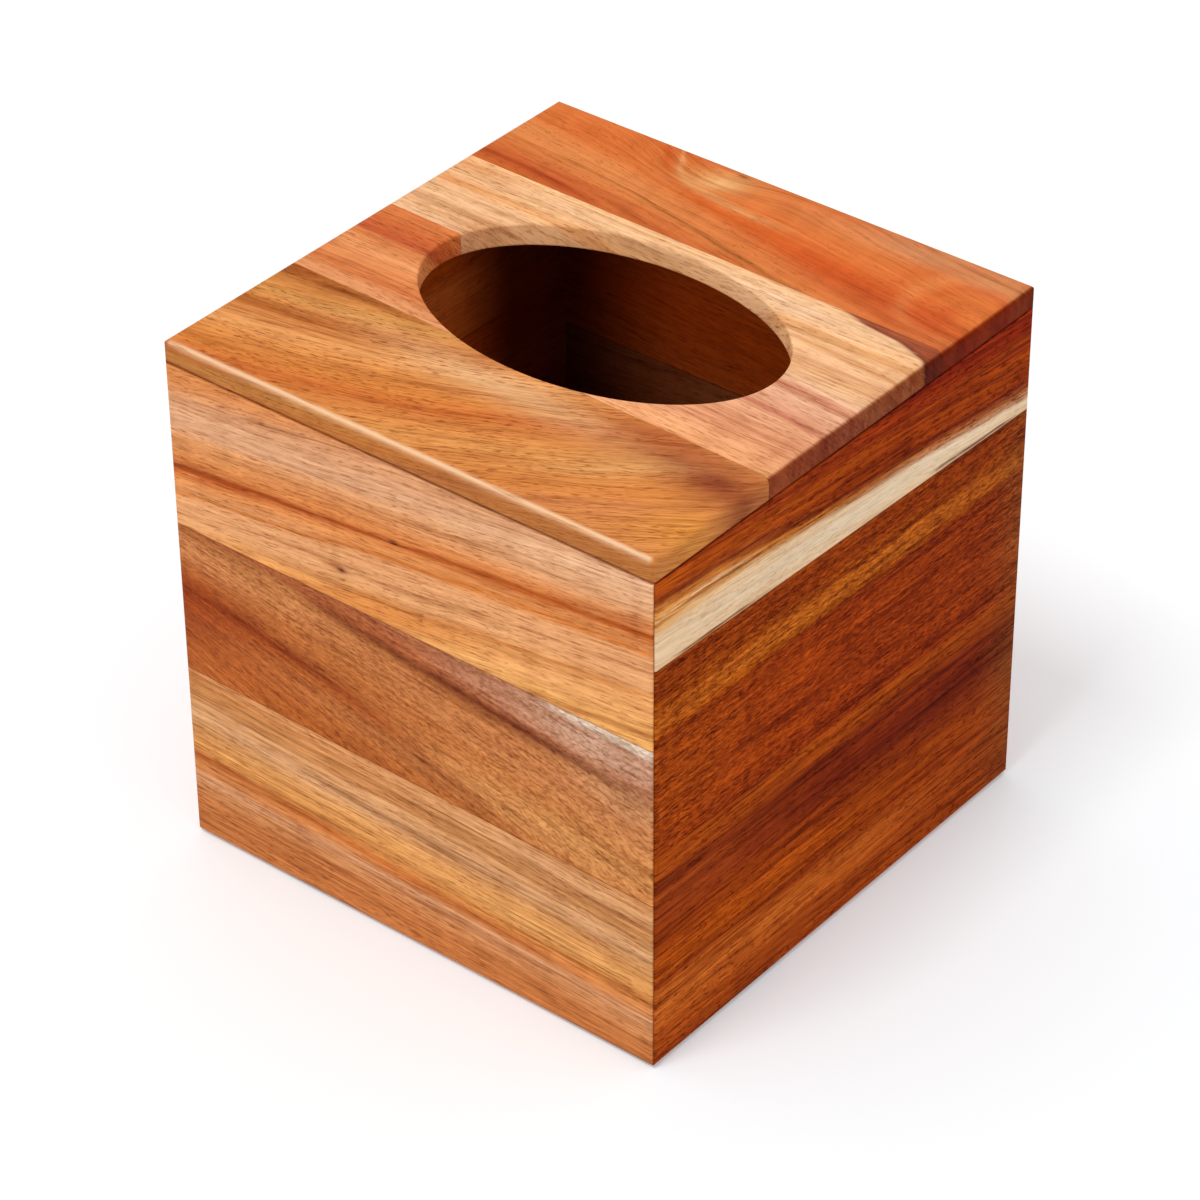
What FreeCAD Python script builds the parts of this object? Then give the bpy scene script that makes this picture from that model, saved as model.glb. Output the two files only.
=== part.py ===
import FreeCAD, Part
import os
from FreeCAD import Vector

# Tissue box cover: a bottomless cube of edge-glued hardwood staves that drops over a cube tissue carton.
# Four mitred walls stand under a glued-on lid with an oval opening for the tissue.
# Origin at the middle of the base, +Z up, front wall towards -Y, right wall towards +X. Millimetres.

# Overall size
OUTER_WIDTH = 140.0
OUTER_DEPTH = 140.0
OUTER_HEIGHT = 140.0

# Board thickness
WALL_THICKNESS = 8.0
LID_THICKNESS = 6.0

# Oval opening in the lid, its long axis along X. It is drawn with four tangent arcs, and its end arcs
# are this much rounder than the ends of a true ellipse.
OPENING_LENGTH = 96.0
OPENING_WIDTH = 62.0
END_FULLNESS = 1.15

# Radii of the rounded edges
LID_ROUND_OVER = 3.0
CORNER_EASE = 1.0
FOOT_EASE = 1.0
SEAM_EASE = 0.4
RIM_EASE = 0.8

# Loose splines across the mitres, and the glue room round them
SPLINE_WIDTH = 5.0
SPLINE_THICKNESS = 1.6
SPLINE_CLEARANCE = 0.1

# Lid glue lines: place from the lid's middle towards the back, at half its length,
# and the climb towards the back from the left end to the right end
LID_BACK_LINE = 34.5
LID_BACK_CLIMB = -2.0
LID_MIDDLE_LINE = 5.2
LID_MIDDLE_CLIMB = -2.4
LID_FRONT_LINE = -29.0
LID_FRONT_CLIMB = -3.0

# Wall staves: widths at half the wall's length, counted down from the lid, and the climb of the glue line
# under each one from left to right, seen from outside. The lower stave takes the height that is left.
FRONT_UPPER_WIDTH = 44.0
FRONT_UPPER_CLIMB = -0.5
FRONT_MIDDLE_WIDTH = 41.8
FRONT_MIDDLE_CLIMB = -2.3
RIGHT_UPPER_WIDTH = 25.2
RIGHT_UPPER_CLIMB = -4.5
RIGHT_MIDDLE_WIDTH = 50.5
RIGHT_MIDDLE_CLIMB = -4.4
BACK_UPPER_WIDTH = 51.0
BACK_UPPER_CLIMB = -0.5
BACK_MIDDLE_WIDTH = 36.0
BACK_MIDDLE_CLIMB = 1.5
LEFT_UPPER_WIDTH = 36.5
LEFT_UPPER_CLIMB = 1.8
LEFT_MIDDLE_WIDTH = 46.0
LEFT_MIDDLE_CLIMB = 2.6

# Cutting solids reach this far past what they cut
OVERCUT = 5.0

WALL_TOP = OUTER_HEIGHT - LID_THICKNESS
ALONG_X = Vector(1, 0, 0)
ALONG_Y = Vector(0, 1, 0)
UP = Vector(0, 0, 1)
SAME_PLACE = 1e-6
QUARTER_TURN = 90.0
MITRE_ANGLE = 45.0


def rounded(blank, direction, height, ease):
    """A block with its edges along one direction, centred at one height, rounded in one router pass."""
    edges = []
    for edge in blank.Edges:
        runs_along = edge.tangentAt(edge.FirstParameter).cross(direction).Length < SAME_PLACE
        if runs_along and abs(edge.CenterOfMass.z - height) < SAME_PLACE:
            edges.append(edge)
    return blank.makeFillet(ease, edges)


def eased_block(bottom, top, bottom_ease, top_ease):
    """A full-size block with its corners, lower edges and upper edges each rounded by straight passes."""
    corner = Vector(-OUTER_WIDTH / 2, -OUTER_DEPTH / 2, bottom)
    blank = Part.makeBox(OUTER_WIDTH, OUTER_DEPTH, top - bottom, corner)
    block = rounded(blank, UP, (bottom + top) / 2, CORNER_EASE)
    for direction in (ALONG_X, ALONG_Y):
        lower_done = rounded(blank, direction, bottom, bottom_ease)
        block = block.common(rounded(lower_done, direction, top, top_ease))
    return block


def between_glue_lines(length, lower, upper, place, through):
    """Prism between two glue lines. A line is its offset at half the length and its climb from end to end."""
    reach = length / 2 + OVERCUT
    outline = []
    for (offset, climb), end in ((lower, -reach), (lower, reach), (upper, reach), (upper, -reach)):
        outline.append(place(end, offset + climb * end / length))
    outline.append(outline[0])
    return Part.Face(Part.makePolygon(outline)).extrude(through)


def write_node(name, shape):
    """One STEP file for one piece."""
    solids = shape.removeSplitter().Solids
    piece = solids[0] if len(solids) == 1 else Part.makeCompound(solids)
    piece.exportStep("parts/" + name + ".step")


# Lid
def oval_outline(height):
    """Closed oval of two side arcs and two end arcs that meet in tangents."""
    half_length = OPENING_LENGTH / 2
    half_width = OPENING_WIDTH / 2
    end_radius = END_FULLNESS * half_width ** 2 / half_length
    end_centre = half_length - end_radius
    side_radius = (end_centre ** 2 + half_width ** 2 - end_radius ** 2) / (2 * (half_width - end_radius))
    side_centre = half_width - side_radius
    reach = side_radius / (side_radius - end_radius)
    meet_x = end_centre * reach
    meet_y = side_centre - side_centre * reach

    def point(x, y):
        return Vector(x, y, height)

    arcs = (
        Part.Arc(point(meet_x, meet_y), point(0, half_width), point(-meet_x, meet_y)),
        Part.Arc(point(-meet_x, meet_y), point(-half_length, 0), point(-meet_x, -meet_y)),
        Part.Arc(point(-meet_x, -meet_y), point(0, -half_width), point(meet_x, -meet_y)),
        Part.Arc(point(meet_x, -meet_y), point(half_length, 0), point(meet_x, meet_y)),
    )
    return Part.Wire([arc.toShape() for arc in arcs])


def lid_panel():
    """The glued-up lid, rounded over outside and cut through with the oval, both rims eased."""
    sheet_corner = Vector(-OUTER_WIDTH / 2 - OVERCUT, -OUTER_DEPTH / 2 - OVERCUT, WALL_TOP)
    outline = Part.makePlane(OUTER_WIDTH + 2 * OVERCUT, OUTER_DEPTH + 2 * OVERCUT, sheet_corner).OuterWire
    pierced = Part.makeFace([outline, oval_outline(WALL_TOP)], "Part::FaceMakerBullseye")
    sheet = pierced.extrude(UP * LID_THICKNESS)
    rims = [edge for edge in sheet.Edges if isinstance(edge.Curve, Part.Circle)]
    sheet = sheet.makeChamfer(RIM_EASE, rims)
    return eased_block(WALL_TOP, OUTER_HEIGHT, SEAM_EASE, LID_ROUND_OVER).common(sheet)


def lid_staves():
    """The lid's staves from front to back. The oval parts the third one into a left and a right piece."""
    panel = lid_panel()
    front_edge = (-OUTER_DEPTH / 2 - OVERCUT, 0)
    front_line = (LID_FRONT_LINE, LID_FRONT_CLIMB)
    middle_line = (LID_MIDDLE_LINE, LID_MIDDLE_CLIMB)
    back_line = (LID_BACK_LINE, LID_BACK_CLIMB)
    back_edge = (OUTER_DEPTH / 2 + OVERCUT, 0)
    through = UP * (LID_THICKNESS + 2 * OVERCUT)

    def place(along, across):
        return Vector(along, across, WALL_TOP - OVERCUT)

    def stave(lower, upper):
        return panel.common(between_glue_lines(OUTER_WIDTH, lower, upper, place, through))

    parted = stave(front_line, middle_line)
    half_size = (OUTER_WIDTH, 2 * OUTER_DEPTH, LID_THICKNESS + 2 * OVERCUT)
    left_half = Part.makeBox(*half_size, place(-OUTER_WIDTH, -OUTER_DEPTH))
    right_half = Part.makeBox(*half_size, place(0, -OUTER_DEPTH))
    return {
        "lid_stave_front": stave(front_edge, front_line),
        "lid_stave_left": parted.common(left_half),
        "lid_stave_right": parted.common(right_half),
        "lid_stave_middle": stave(middle_line, back_line),
        "lid_stave_back": stave(back_line, back_edge),
    }


# Corner splines
CORNERS = {
    "front_right": (1, -1),
    "back_right": (1, 1),
    "back_left": (-1, 1),
    "front_left": (-1, -1),
}


def mitre_bar(corner, thickness, width, bottom, top):
    """Upright bar square across a mitre, on the middle of the mitred face."""
    side_x, side_y = CORNERS[corner]
    bar = Part.makeBox(width, thickness, top - bottom, Vector(-width / 2, -thickness / 2, bottom))
    bar.rotate(Vector(0, 0, 0), UP, -MITRE_ANGLE * side_x * side_y)
    from_x = OUTER_WIDTH / 2 - WALL_THICKNESS / 2
    from_y = OUTER_DEPTH / 2 - WALL_THICKNESS / 2
    bar.translate(Vector(side_x * from_x, side_y * from_y, 0))
    return bar


def corner_splines():
    """One spline in each corner, from the base to the underside of the lid."""
    splines = {}
    for corner in CORNERS:
        splines["corner_spline_" + corner] = mitre_bar(corner, SPLINE_THICKNESS, SPLINE_WIDTH, 0, WALL_TOP)
    return splines


# Walls, each a quarter turn on from the one before
WALLS = {
    "front": (FRONT_UPPER_WIDTH, FRONT_UPPER_CLIMB, FRONT_MIDDLE_WIDTH, FRONT_MIDDLE_CLIMB),
    "right": (RIGHT_UPPER_WIDTH, RIGHT_UPPER_CLIMB, RIGHT_MIDDLE_WIDTH, RIGHT_MIDDLE_CLIMB),
    "back": (BACK_UPPER_WIDTH, BACK_UPPER_CLIMB, BACK_MIDDLE_WIDTH, BACK_MIDDLE_CLIMB),
    "left": (LEFT_UPPER_WIDTH, LEFT_UPPER_CLIMB, LEFT_MIDDLE_WIDTH, LEFT_MIDDLE_CLIMB),
}


def wall_ring():
    """The four walls in one ring, grooved for the splines, before it is parted at mitres and glue lines."""
    inner_width = OUTER_WIDTH - 2 * WALL_THICKNESS
    inner_depth = OUTER_DEPTH - 2 * WALL_THICKNESS
    inner_corner = Vector(-inner_width / 2, -inner_depth / 2, -OVERCUT)
    inside = Part.makeBox(inner_width, inner_depth, WALL_TOP + 2 * OVERCUT, inner_corner)
    ring = eased_block(0, WALL_TOP, FOOT_EASE, SEAM_EASE).cut(inside)
    groove_thickness = SPLINE_THICKNESS + 2 * SPLINE_CLEARANCE
    groove_width = SPLINE_WIDTH + 2 * SPLINE_CLEARANCE
    for corner in CORNERS:
        groove = mitre_bar(corner, groove_thickness, groove_width, -OVERCUT, WALL_TOP + OVERCUT)
        ring = ring.cut(groove)
    return ring


def mitred_wedge(length, outer_face):
    """Upright prism that holds one wall and ends at its two mitres, with the wall's outer face towards -Y."""
    inward = WALL_THICKNESS + OVERCUT
    outline = [
        Vector(-length / 2 - OVERCUT, -outer_face - OVERCUT, -OVERCUT),
        Vector(length / 2 + OVERCUT, -outer_face - OVERCUT, -OVERCUT),
        Vector(length / 2 - inward, -outer_face + inward, -OVERCUT),
        Vector(-length / 2 + inward, -outer_face + inward, -OVERCUT),
    ]
    outline.append(outline[0])
    return Part.Face(Part.makePolygon(outline)).extrude(UP * (WALL_TOP + 2 * OVERCUT))


def wall_staves():
    """Three staves for each wall, cut from the ring by the wall's mitres and glue lines."""
    ring = wall_ring()
    staves = {}
    for turns, (wall, sizes) in enumerate(WALLS.items()):
        upper_width, upper_climb, middle_width, middle_climb = sizes
        length, span = (OUTER_WIDTH, OUTER_DEPTH) if turns % 2 == 0 else (OUTER_DEPTH, OUTER_WIDTH)
        outer_face = span / 2
        wedge = mitred_wedge(length, outer_face)
        through = ALONG_Y * (WALL_THICKNESS + 2 * OVERCUT)

        def place(along, height):
            return Vector(along, -outer_face - OVERCUT, height)

        lines = [
            (-OVERCUT, 0),
            (WALL_TOP - upper_width - middle_width, middle_climb),
            (WALL_TOP - upper_width, upper_climb),
            (WALL_TOP + OVERCUT, 0),
        ]
        for index, position in enumerate(("lower", "middle", "upper")):
            cutter = wedge.common(between_glue_lines(length, lines[index], lines[index + 1], place, through))
            cutter.rotate(Vector(0, 0, 0), UP, turns * QUARTER_TURN)
            staves[wall + "_wall_" + position] = ring.common(cutter)
    return staves


os.makedirs("parts", exist_ok=True)
for pieces in (lid_staves(), wall_staves(), corner_splines()):
    for node, shape in pieces.items():
        write_node(node, shape)
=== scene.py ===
import math

import bpy
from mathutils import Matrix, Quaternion, Vector


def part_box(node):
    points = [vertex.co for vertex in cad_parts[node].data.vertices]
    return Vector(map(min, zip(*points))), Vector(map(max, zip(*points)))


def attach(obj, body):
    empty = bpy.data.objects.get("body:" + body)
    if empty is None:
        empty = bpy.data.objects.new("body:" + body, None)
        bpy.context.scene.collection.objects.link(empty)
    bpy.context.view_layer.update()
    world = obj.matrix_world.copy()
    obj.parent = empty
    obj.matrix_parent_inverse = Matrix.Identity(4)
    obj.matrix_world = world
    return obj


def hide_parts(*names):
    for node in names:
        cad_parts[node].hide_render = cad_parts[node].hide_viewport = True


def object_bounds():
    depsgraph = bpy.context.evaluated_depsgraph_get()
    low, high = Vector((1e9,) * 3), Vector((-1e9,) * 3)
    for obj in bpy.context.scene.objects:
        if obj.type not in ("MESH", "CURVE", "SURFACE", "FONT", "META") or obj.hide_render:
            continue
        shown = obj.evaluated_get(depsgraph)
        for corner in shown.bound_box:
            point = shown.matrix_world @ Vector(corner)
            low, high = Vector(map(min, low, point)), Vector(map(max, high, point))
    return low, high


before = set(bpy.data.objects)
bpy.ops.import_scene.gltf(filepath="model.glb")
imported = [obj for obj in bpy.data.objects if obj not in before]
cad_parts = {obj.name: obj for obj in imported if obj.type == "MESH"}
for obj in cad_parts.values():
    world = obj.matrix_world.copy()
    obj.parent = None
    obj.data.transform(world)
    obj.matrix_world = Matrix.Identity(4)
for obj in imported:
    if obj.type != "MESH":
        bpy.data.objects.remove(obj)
cad_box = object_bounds()

# Front wall
# Three hardwood boards with the grain lying level, glued edge to edge into one 8 mm panel, mitred at both
# ends, eased along the foot and finished in clear satin oil. Tan over brown over golden wood.
MM = 0.001
SIDE = (cad_box[1][0] - cad_box[0][0]) / MM
HALF = SIDE / 2
HEIGHT = (cad_box[1][2] - cad_box[0][2]) / MM
WALL_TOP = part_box("front_wall_upper")[1][2] / MM
WALL_THICKNESS = 8.0
CORNER_EASE = 1.0
FOOT_EASE = 2.0
SEAM_EASE = 0.4
GROOVE_WIDTH = 5.2
GROOVE_THICKNESS = 1.8
OVERCUT = 5.0
REACH = 0.3
QUARTER_TURN = math.pi / 2
EASE_STEPS = 6
SHARP_EDGE = math.radians(32)


class Wire:
    """A node socket that takes part in Python arithmetic. Each operation adds a Math node to its tree."""

    def __init__(self, socket):
        self.socket = socket

    def add(self, kind, settings=None, values=None, output=0):
        """Any other node in the same tree: its settings are set first, then its socket values and links."""
        tree = self.socket.id_data
        node = tree.nodes.new(kind)
        for name, setting in (settings or {}).items():
            if name == "stops":
                self.fill_ramp(node.color_ramp, setting)
            elif name == "points":
                self.fill_curve(node.mapping, setting)
            else:
                setattr(node, name, setting)
        for name, value in (values or {}).items():
            for part in value if isinstance(value, list) else [value]:
                if isinstance(part, Wire):
                    tree.links.new(part.socket, node.inputs[name])
                else:
                    node.inputs[name].default_value = part
        return Wire(node.outputs[output]) if node.outputs else None

    def fill_ramp(self, ramp, stops):
        """Colour stops, from first to last, over the places 0 to 1."""
        while len(ramp.elements) < len(stops):
            ramp.elements.new(1.0)
        for element, (place, colour) in zip(ramp.elements, stops):
            element.position = place
            element.color = colour
        ramp.interpolation = "EASE"

    def fill_curve(self, mapping, points):
        """Smooth curve through points in the unit square, from left to right."""
        curve = mapping.curves[0]
        curve.points[0].location = points[0]
        curve.points[1].location = points[-1]
        for place, height in points[1:-1]:
            curve.points.new(place, height)
        mapping.update()

    def math(self, operation, *others):
        return self.add("ShaderNodeMath", {"operation": operation}, dict(enumerate((self, *others))))

    def __add__(self, other):
        return self.math("ADD", other)

    def __sub__(self, other):
        return self.math("SUBTRACT", other)

    def __rsub__(self, other):
        return self.math("MULTIPLY_ADD", -1.0, other)

    def __mul__(self, other):
        return self.math("MULTIPLY", other)

    def __truediv__(self, other):
        return self.math("DIVIDE", other)

    def __neg__(self):
        return self.math("MULTIPLY", -1.0)

    __radd__ = __add__
    __rmul__ = __mul__

    def rise(self, start, end):
        """Smooth step from 0 at start to 1 at end, or down where start is the greater."""
        limits = {"Value": self, "From Min": start, "From Max": end}
        return self.add("ShaderNodeMapRange", {"interpolation_type": "SMOOTHSTEP"}, limits)

    def bell(self, middle, spread):
        """Smooth hump of height 1 about a middle value."""
        offset = (self - middle) / spread
        return (offset * offset * -1.0).math("EXPONENT")

    def together(self, y, z):
        """A vector of this value and two more."""
        return self.add("ShaderNodeCombineXYZ", {}, {"X": self, "Y": y, "Z": z})

    def apart(self):
        """The three values of a vector."""
        first = self.add("ShaderNodeSeparateXYZ", {}, {"Vector": self})
        return [Wire(output) for output in first.socket.node.outputs]

    def over(self, under, tone, blend="MIX"):
        """A colour laid over another one, with this value as its cover."""
        settings = {"data_type": "RGBA", "blend_type": blend}
        return self.add("ShaderNodeMix", settings, {0: self, 6: under, 7: tone}, output=2)


def sized_tree(name, sizes):
    """An empty geometry tree with a named value for each size and a wood, and the wires that carry them."""
    tree = bpy.data.node_groups.new(name, "GeometryNodeTree")
    for size in sizes:
        tree.interface.new_socket(size, in_out="INPUT", socket_type="NodeSocketFloat")
    tree.interface.new_socket("Wood", in_out="INPUT", socket_type="NodeSocketMaterial")
    tree.interface.new_socket("Geometry", in_out="OUTPUT", socket_type="NodeSocketGeometry")
    entry = tree.nodes.new("NodeGroupInput")
    return {socket.name: Wire(socket) for socket in entry.outputs if socket.name}


def swept(profile, turn=(0.0, 0.0, 0.0), place=(0.0, 0.0, 0.0)):
    """A long bar of one closed profile, swept along Z, then turned and put in place."""
    ends = {"Start": (0, 0, -REACH), "End": (0, 0, REACH)}
    line = profile.add("GeometryNodeCurvePrimitiveLine", {}, ends)
    sweep = {"Curve": line, "Profile Curve": profile, "Fill Caps": True}
    bar = line.add("GeometryNodeCurveToMesh", {}, sweep)
    move = {"Geometry": bar, "Rotation": turn, "Translation": place}
    return bar.add("GeometryNodeTransform", {}, move)


def rectangle(width, height, lower_ease, upper_ease):
    """A rectangle with its two lower and its two upper corners rounded."""
    size = {"Width": width, "Height": height}
    outline = lower_ease.add("GeometryNodeCurvePrimitiveQuadrilateral", {}, size)
    level = outline.add("GeometryNodeInputPosition").apart()[1]
    ease = lower_ease + (upper_ease - lower_ease) * level.math("GREATER_THAN", 0.0)
    corners = {"Curve": outline, "Count": EASE_STEPS, "Radius": ease}
    return outline.add("GeometryNodeFilletCurve", {"mode": "POLY"}, corners)


def four_sided(points):
    """A closed outline through four points, each a pair of wires."""
    places = {"Point %d" % (k + 1): across.together(up, 0.0) for k, (across, up) in enumerate(points)}
    return places["Point 1"].add("GeometryNodeCurvePrimitiveQuadrilateral", {"mode": "POINTS"}, places)


def eased_block(side, bottom, top, corner_ease, lower_ease, upper_ease):
    """Three bars whose common part is a block with rounded corners and rounded lower and upper edges."""
    middle = (side * 0.0).together(0.0, (bottom + top) / 2)
    plan = rectangle(side, side, corner_ease, corner_ease)
    section = rectangle(side, top - bottom, lower_ease, upper_ease)
    return [
        swept(plan),
        swept(section, (QUARTER_TURN, 0.0, QUARTER_TURN), middle),
        swept(section, (QUARTER_TURN, 0.0, 0.0), middle),
    ]


def between_glue_lines(sizes):
    """Outline between two slanted glue lines, each an offset at half length and a climb from end to end."""
    end = sizes["Side"] / 2 + OVERCUT * MM
    share = end / sizes["Side"]
    lower_rise = sizes["Lower Climb"] * share
    upper_rise = sizes["Upper Climb"] * share
    return four_sided([
        (-end, sizes["Lower Line"] - lower_rise),
        (end, sizes["Lower Line"] + lower_rise),
        (end, sizes["Upper Line"] + upper_rise),
        (-end, sizes["Upper Line"] - upper_rise),
    ])


def boolean(operation, meshes, cut_from=None):
    """The common part of some meshes, or one mesh with the others cut from it."""
    values = {"Mesh 2": meshes}
    if cut_from:
        values["Mesh 1"] = cut_from
    return meshes[0].add("GeometryNodeMeshBoolean", {"operation": operation, "solver": "MANIFOLD"}, values)


def finished_tree(shape, wood):
    """The end of a tree: smooth rounded edges, sharp arrises, and the wood on every face."""
    shape = shape.add("GeometryNodeSetShadeSmooth", {"domain": "FACE"}, {"Geometry": shape})
    angle = shape.add("GeometryNodeInputMeshEdgeAngle")
    arris = {"Geometry": shape, "Selection": angle.math("GREATER_THAN", SHARP_EDGE), "Shade Smooth": False}
    shape = shape.add("GeometryNodeSetShadeSmooth", {"domain": "EDGE"}, arris)
    shape = shape.add("GeometryNodeRealizeInstances", {}, {"Geometry": shape})
    shape = shape.add("GeometryNodeSetMaterial", {}, {"Geometry": shape, "Material": wood})
    shape.add("NodeGroupOutput", {}, {"Geometry": shape})
    return shape.socket.id_data


def wall_tree():
    """A board of a front wall, cut from the eased block at mitres, glue lines and grooves, then turned."""
    names = ["Side", "Wall Top", "Thickness", "Corner Ease", "Foot Ease", "Seam Ease", "Groove Width"]
    names += ["Groove Thickness", "Lower Line", "Lower Climb", "Upper Line", "Upper Climb", "Turn"]
    sizes = sized_tree("wall_board", names)
    side = sizes["Side"]
    thickness = sizes["Thickness"]
    half = side / 2
    zero = side * 0.0
    eases = (sizes["Corner Ease"], sizes["Foot Ease"], sizes["Seam Ease"])
    block = eased_block(side, zero, sizes["Wall Top"], *eases)
    outside = half + OVERCUT * MM
    inside = half - thickness - OVERCUT * MM
    outer_corners = [(-outside, -outside), (outside, -outside)]
    inner_corners = [(inside, -inside), (-inside, -inside)]
    wedge = swept(four_sided(outer_corners + inner_corners))
    strip = swept(between_glue_lines(sizes), (QUARTER_TURN, 0.0, 0.0))
    board = boolean("INTERSECT", block + [wedge, strip])
    hollow = side - thickness * 2
    room = side.add("GeometryNodeCurvePrimitiveQuadrilateral", {}, {"Width": hollow, "Height": hollow})
    cutters = [swept(room)]
    groove = {"Width": sizes["Groove Width"], "Height": sizes["Groove Thickness"]}
    mitre = half - thickness / 2
    for corner in (-1, 1):
        profile = side.add("GeometryNodeCurvePrimitiveQuadrilateral", {}, groove)
        place = (mitre * corner).together(-mitre, 0.0)
        cutters.append(swept(profile, (0.0, 0.0, corner * QUARTER_TURN / 2), place))
    board = boolean("DIFFERENCE", cutters, board)
    turn = zero.together(0.0, sizes["Turn"])
    board = side.add("GeometryNodeTransform", {}, {"Geometry": board, "Rotation": turn})
    return finished_tree(board, sizes["Wood"])


def joinery_piece(node, tree, sizes, wood):
    """Runs a tree with its sizes, keeps the result as a plain mesh, and lets it stand for a node."""
    piece = bpy.data.objects.new(node + "_board", bpy.data.meshes.new(node + "_blank"))
    bpy.context.scene.collection.objects.link(piece)
    modifier = piece.modifiers.new("board", "NODES")
    modifier.node_group = tree
    for socket in tree.interface.items_tree:
        if socket.in_out == "INPUT":
            modifier[socket.identifier] = wood if socket.name == "Wood" else sizes[socket.name]
    flat_faces = piece.modifiers.new("flat_faces", "WEIGHTED_NORMAL")
    flat_faces.keep_sharp = True
    evaluated = piece.evaluated_get(bpy.context.evaluated_depsgraph_get())
    mesh = bpy.data.meshes.new_from_object(evaluated)
    mesh.name = node + "_board"
    piece.modifiers.clear()
    piece.data = mesh
    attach(piece, "root")
    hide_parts(node)


WALL_TREE = wall_tree()
OVER_TOP = (WALL_TOP + OVERCUT, 0.0)
UNDER_FOOT = (-OVERCUT, 0.0)


def wall_board(node, turn, lower, upper, wood):
    """One wall board between two glue lines, each its height at half length and its climb, in millimetres."""
    sizes = {
        "Side": SIDE * MM,
        "Wall Top": WALL_TOP * MM,
        "Thickness": WALL_THICKNESS * MM,
        "Corner Ease": CORNER_EASE * MM,
        "Foot Ease": FOOT_EASE * MM,
        "Seam Ease": SEAM_EASE * MM,
        "Groove Width": GROOVE_WIDTH * MM,
        "Groove Thickness": GROOVE_THICKNESS * MM,
        "Lower Line": lower[0] * MM,
        "Lower Climb": lower[1] * MM,
        "Upper Line": upper[0] * MM,
        "Upper Climb": upper[1] * MM,
        "Turn": turn * QUARTER_TURN,
    }
    joinery_piece(node, WALL_TREE, sizes, wood)


def front_face(x, y, z):
    """Along the grain, down from the top and into the wood, in millimetres, on the front wall."""
    return x + HALF, HEIGHT - z, y + HALF


PALEST_WOOD = 0.93
DARKEST_WOOD = 0.002
GRAIN_LOSS = 0.93
LINE_TINT = (0.60, 0.47, 0.37, 1.0)
GLOW_TINT = (1.22, 1.27, 1.32, 1.0)
PORE_TINT = (0.50, 0.35, 0.25, 1.0)
# Dark tint for real glue lines, and for the painted shadow line at the seam under the lid.
GLUE_AND_SHADOW_TINT = (0.34, 0.20, 0.13, 1.0)
# Painted shade for the inside corners of the walls.
CORNER_SHADE_TINT = (0.10, 0.05, 0.04, 1.0)
MITRE_GLUE_AND_SEAM_SHADOW = 0.8
CORNER_SHADE = 0.95
SEED_ALONG = 7.3
SEED_INWARD = 3.1
PORE_SOFTNESS = 0.16
FLECK_SHEAR = 0.22
PORE_DIP = 0.6
LINE_DIP = 0.25
FIBRE_DIP = 0.2
RELIEF_STRENGTH = 0.25
RELIEF_HEIGHT = 0.15
LINE_MATT = 0.12
PORE_MATT = 0.15
USUAL_LOOK = {
    "wander": 4.0,
    "tilt": 0.6,
    "fray": 4.0,
    "bite": 0.20,
    "lines": 0.8,
    "strands": 0.5,
    "fibres": 0.7,
    "pore_length": 3.2,
    "pore_pitch": 0.42,
    "pore_depth": 0.7,
    "pore_start": 0.56,
    "flecks": 0.0,
    "ripple": 0.15,
    "glue": 0.5,
    "sheen": 0.05,
    "satin": 0.36,
}


def tone(code, light):
    """Linear colour of bare wood from its hex look, on a face with its light level and a veil of sheen."""
    level, veil = light
    shares = [int(code[k:k + 2], 16) / 255 for k in (0, 2, 4)]
    linear = [share / 12.92 if share < 0.04045 else ((share + 0.055) / 1.055) ** 2.4 for share in shares]
    scale = min(1.0 / (level * GRAIN_LOSS), PALEST_WOOD / max(linear))
    return (*[max(value - veil, DARKEST_WOOD) * scale for value in linear], 1.0)


class Figure:
    """The tones of one board as they are laid on, by place along the board (u) and down it (v)."""

    def __init__(self, u, v, light, colour, broken):
        self.u = u
        self.v = v
        self.light = light
        self.colour = colour
        self.broken = broken
        self.calm = 1.0

    def lay(self, code, mask, cover):
        """One tone over what is there, where a mask says."""
        self.colour = (mask * cover).over(self.colour, tone(code, self.light))

    def path(self, points):
        """Place down the board of a smooth line through points."""
        places = [(along / SIDE, down / HEIGHT) for along, down in points]
        return self.u.add("ShaderNodeFloatCurve", {"points": places}, {"Value": self.u / SIDE}) * HEIGHT

    def radius(self, centre, reach, lean=0.0):
        """Distance from a centre, 1 on an oval that sinks by its lean along the board."""
        along = (self.u - centre[0]) / reach[0]
        down = (self.v - (self.u - centre[0]) * lean - centre[1]) / reach[1]
        return (along * along + down * down).math("SQRT")

    def patch(self, code, centre, reach, cover=1.0, lean=0.0):
        """A soft oval of tone."""
        self.lay(code, self.radius(centre, reach, lean).bell(0.0, 1.0), cover)

    def ring(self, code, centre, reach, width, cover=1.0, lean=0.0):
        """A soft oval line of tone."""
        self.lay(code, self.radius(centre, reach, lean).bell(1.0, width) * self.broken, cover)

    def streak(self, code, points, width, cover=1.0, fades=()):
        """A soft line of tone through points, with fades from one place along the board to another."""
        mask = self.v.bell(self.path(points), width) * self.broken
        for start, end in fades:
            mask = mask * self.u.rise(start, end)
        self.lay(code, mask, cover)

    def band(self, code, upper, lower, softness, cover=1.0):
        """A field of tone between an upper and a lower line."""
        under_upper = (self.v - self.path(upper)).rise(-softness, softness)
        over_lower = (self.v - self.path(lower)).rise(softness, -softness)
        field = under_upper * over_lower
        self.lay(code, field, cover)
        return field


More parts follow.
